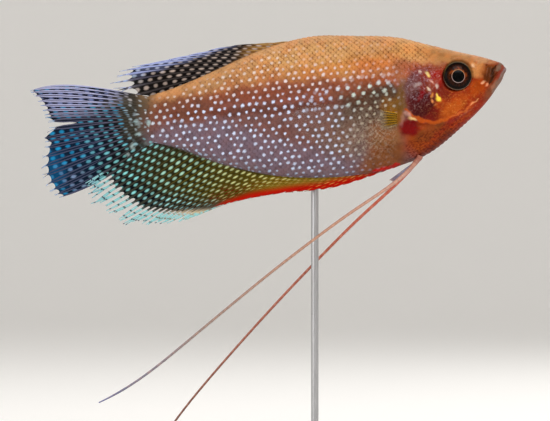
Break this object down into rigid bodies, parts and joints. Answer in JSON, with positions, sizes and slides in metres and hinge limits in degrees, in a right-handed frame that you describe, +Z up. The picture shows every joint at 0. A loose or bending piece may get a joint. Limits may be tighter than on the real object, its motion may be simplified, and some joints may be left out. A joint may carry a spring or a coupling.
{
  "type": "pearl gourami",
  "caption": "Life-size still model of a pearl gourami with fanned fins and long thread feelers, on a flat stand with one rod.",
  "frame": {"origin": "centre of the stand's underside", "axes": "+X towards the fish's snout, +Y towards its left side, +Z up"},
  "size_m": [0.1147, 0.05, 0.1093],
  "materials": {
    "skin": "wet scaled skin, golden back, pearl spots",
    "eye": "clear wet gloss",
    "fin": "thin wet membrane with rows of blue spots",
    "clear_fin": "clear membrane, yellow at its root",
    "feeler": "soft wet thread",
    "stand_wood": "dark satin",
    "stand_steel": "brushed"
  },
  "bodies": {
    "root": {"head": "skin", "torso": "skin", "tail_stem": "skin", "eye_right": "eye", "eye_left": "eye", "dorsal_fin": "fin", "anal_fin": "fin", "tail_fin_upper": "fin", "tail_fin_lower": "fin", "pectoral_fin_right": "clear_fin", "pectoral_fin_left": "clear_fin", "pelvic_feeler_right": "feeler", "pelvic_feeler_left": "feeler", "stand_base": "stand_wood", "stand_rod": "stand_steel"}
  },
  "joints": []
}
